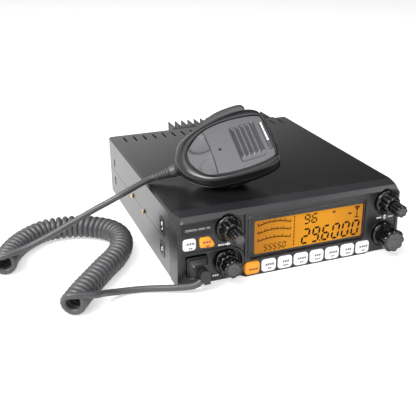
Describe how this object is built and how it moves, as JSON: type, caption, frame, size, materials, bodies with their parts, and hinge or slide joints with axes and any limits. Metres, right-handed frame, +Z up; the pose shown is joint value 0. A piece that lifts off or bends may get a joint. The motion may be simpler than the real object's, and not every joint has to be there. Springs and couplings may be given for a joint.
{
  "type": "mobile transceiver",
  "caption": "Mobile radio transceiver with an amber display, concentric knobs, push buttons, a finned heat sink and a hand microphone on a curly cord.",
  "frame": {"origin": "middle of the footprint of the radio and its handset, on the surface they stand on", "axes": "+Z up; the front panel faces -Y and the heat sink +Y; +X to the right as seen from the front"},
  "size_m": [0.3344, 0.273, 0.1146],
  "materials": {
    "cover_paint": "fine satin powder coat",
    "panel_plastic": "fine matt grain",
    "black_plastic": "matt",
    "knob_plastic": "semi-gloss moulded",
    "white_plastic": "smooth satin",
    "orange_plastic": "smooth satin",
    "window_plastic": "clear, polished",
    "lcd_amber": "lit amber display",
    "board_green": "solder mask",
    "plated_steel": "zinc plated",
    "anodised_black": "black anodised",
    "chrome": "nickel plated",
    "brass": "machined",
    "mic_plastic": "satin moulded",
    "mic_grey": "fine spark-eroded texture",
    "cord_rubber": "satin"
  },
  "bodies": {
    "root": {"top_cover": "cover_paint", "bottom_cover": "cover_paint", "rear_panel": "cover_paint", "chassis_frame": "plated_steel", "squelch_rf_control": "plated_steel", "volume_power_control": "plated_steel", "clarifier_control": "plated_steel", "channel_encoder": "plated_steel", "heat_sink": "anodised_black", "cover_screw_left_front": "brass", "cover_screw_left_rear": "brass", "cover_screw_right_front": "brass", "cover_screw_right_rear": "brass", "front_bezel": "panel_plastic", "lens_window": "window_plastic", "lcd_panel": "lcd_amber", "display_board": "board_green", "main_board": "board_green", "mic_socket": "black_plastic", "dc_socket": "black_plastic", "speaker": "black_plastic", "antenna_socket": "chrome", "speaker_jack": "chrome", "pa_jack": "chrome", "mic_plug": "cord_rubber", "cord_to_mic": "cord_rubber", "cord_to_plug": "cord_rubber", "cord_coil": "cord_rubber"},
    "squelch_rf_outer": {"squelch_rf_outer_knob": "knob_plastic"},
    "squelch_rf_inner": {"squelch_rf_inner_knob": "knob_plastic", "squelch_rf_spindle": "brass"},
    "volume_power_outer": {"volume_power_outer_knob": "knob_plastic"},
    "volume_power_inner": {"volume_power_inner_knob": "knob_plastic", "volume_power_spindle": "brass"},
    "clarifier_outer": {"clarifier_outer_knob": "knob_plastic"},
    "clarifier_inner": {"clarifier_inner_knob": "knob_plastic", "clarifier_spindle": "brass"},
    "channel_dial": {"channel_knob": "knob_plastic", "channel_spindle": "brass"},
    "row_button_1_cap": {"row_button_1": "orange_plastic"},
    "row_button_2_cap": {"row_button_2": "white_plastic"},
    "row_button_3_cap": {"row_button_3": "white_plastic"},
    "row_button_4_cap": {"row_button_4": "white_plastic"},
    "row_button_5_cap": {"row_button_5": "white_plastic"},
    "row_button_6_cap": {"row_button_6": "white_plastic"},
    "row_button_7_cap": {"row_button_7": "white_plastic"},
    "row_button_8_cap": {"row_button_8": "white_plastic"},
    "function_button_cap": {"function_button": "white_plastic"},
    "band_button_cap": {"band_button": "orange_plastic"},
    "handset": {"mic_front_shell": "mic_plastic", "mic_rear_shell": "mic_plastic", "mic_face_plate": "mic_grey", "mic_board": "board_green", "mic_cartridge": "plated_steel", "mic_hanger_stud": "chrome", "mic_strain_relief": "cord_rubber"},
    "talk_key_bar": {"talk_key": "mic_grey"},
    "mic_up_key_cap": {"mic_up_key": "mic_plastic"},
    "mic_down_key_cap": {"mic_down_key": "mic_plastic"}
  },
  "joints": [
    {"name": "squelch_rf_outer_turn", "type": "hinge", "parent": "root", "child": "squelch_rf_outer", "pos_m": [-0.0575, -0.114, 0.0455], "axis": [0, 1, 0], "range_deg": [-150, 150]},
    {"name": "squelch_rf_inner_turn", "type": "hinge", "parent": "root", "child": "squelch_rf_inner", "pos_m": [-0.0575, -0.114, 0.0455], "axis": [0, 1, 0], "range_deg": [-150, 150]},
    {"name": "volume_power_outer_turn", "type": "hinge", "parent": "root", "child": "volume_power_outer", "pos_m": [-0.0585, -0.114, 0.016], "axis": [0, 1, 0], "range_deg": [-150, 150]},
    {"name": "volume_power_inner_turn", "type": "hinge", "parent": "root", "child": "volume_power_inner", "pos_m": [-0.0585, -0.114, 0.016], "axis": [0, 1, 0], "range_deg": [-150, 150]},
    {"name": "clarifier_outer_turn", "type": "hinge", "parent": "root", "child": "clarifier_outer", "pos_m": [0.085, -0.114, 0.045], "axis": [0, 1, 0], "range_deg": [-150, 150]},
    {"name": "clarifier_inner_turn", "type": "hinge", "parent": "root", "child": "clarifier_inner", "pos_m": [0.085, -0.114, 0.045], "axis": [0, 1, 0], "range_deg": [-150, 150]},
    {"name": "channel_turn", "type": "hinge", "parent": "root", "child": "channel_dial", "pos_m": [0.0845, -0.114, 0.016], "axis": [0, 1, 0], "continuous": true},
    {"name": "row_button_1_press", "type": "slide", "parent": "root", "child": "row_button_1_cap", "axis": [0, 1, 0], "range_m": [0, 0.001], "stiffness_N_per_m": 200},
    {"name": "row_button_2_press", "type": "slide", "parent": "root", "child": "row_button_2_cap", "axis": [0, 1, 0], "range_m": [0, 0.001], "stiffness_N_per_m": 200},
    {"name": "row_button_3_press", "type": "slide", "parent": "root", "child": "row_button_3_cap", "axis": [0, 1, 0], "range_m": [0, 0.001], "stiffness_N_per_m": 200},
    {"name": "row_button_4_press", "type": "slide", "parent": "root", "child": "row_button_4_cap", "axis": [0, 1, 0], "range_m": [0, 0.001], "stiffness_N_per_m": 200},
    {"name": "row_button_5_press", "type": "slide", "parent": "root", "child": "row_button_5_cap", "axis": [0, 1, 0], "range_m": [0, 0.001], "stiffness_N_per_m": 200},
    {"name": "row_button_6_press", "type": "slide", "parent": "root", "child": "row_button_6_cap", "axis": [0, 1, 0], "range_m": [0, 0.001], "stiffness_N_per_m": 200},
    {"name": "row_button_7_press", "type": "slide", "parent": "root", "child": "row_button_7_cap", "axis": [0, 1, 0], "range_m": [0, 0.001], "stiffness_N_per_m": 200},
    {"name": "row_button_8_press", "type": "slide", "parent": "root", "child": "row_button_8_cap", "axis": [0, 1, 0], "range_m": [0, 0.001], "stiffness_N_per_m": 200},
    {"name": "function_button_press", "type": "slide", "parent": "root", "child": "function_button_cap", "axis": [0, 1, 0], "range_m": [0, 0.001], "stiffness_N_per_m": 200},
    {"name": "band_button_press", "type": "slide", "parent": "root", "child": "band_button_cap", "axis": [0, 1, 0], "range_m": [0, 0.001], "stiffness_N_per_m": 200},
    {"name": "handset_lift", "type": "slide", "parent": "root", "child": "handset", "axis": [0, 0, 1], "range_m": [0, 0.06]},
    {"name": "talk_key_press", "type": "hinge", "parent": "handset", "child": "talk_key_bar", "pos_m": [-0.00914, -0.02622, 0.11485], "axis": [-0.3407, -0.4204, 0.8409], "range_deg": [0, 2], "stiffness_Nm_per_rad": 1.5},
    {"name": "mic_up_key_press", "type": "slide", "parent": "handset", "child": "mic_up_key_cap", "axis": [-0.939, 0.197, -0.282], "range_m": [0, 0.001], "stiffness_N_per_m": 200},
    {"name": "mic_down_key_press", "type": "slide", "parent": "handset", "child": "mic_down_key_cap", "axis": [-0.939, 0.197, -0.282], "range_m": [0, 0.001], "stiffness_N_per_m": 200}
  ]
}
